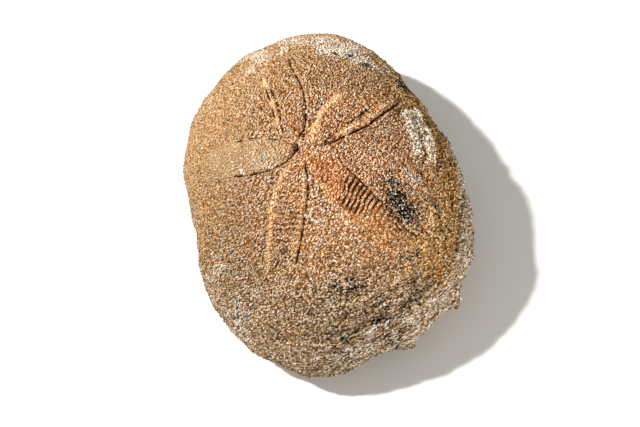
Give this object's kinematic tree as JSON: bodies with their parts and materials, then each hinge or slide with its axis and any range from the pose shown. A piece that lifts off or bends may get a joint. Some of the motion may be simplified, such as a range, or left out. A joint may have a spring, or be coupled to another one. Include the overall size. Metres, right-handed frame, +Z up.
{
  "type": "fossil sea urchin",
  "caption": "Fossil sea urchin: an oval, domed stone with a star of petals on its top, lumpy worn flanks and a hollowed underside that rests on a flat ring.",
  "frame": {"origin": "on the resting plane, under the middle of the stone's length and width; the apex is 2.9 mm towards -X and 0.6 mm towards -Y of it", "axes": "+Z up through the dome, +Y along the front petal (the long way of the stone), +X to the right seen from above with the front petal pointing away"},
  "size_m": [0.0741, 0.0968, 0.047],
  "materials": {
    "stone": "rough, dry, tan to orange-brown stone with paler ochre and grey worn flanks"
  },
  "bodies": {
    "root": {"fossil_sea_urchin": "stone"}
  },
  "joints": []
}
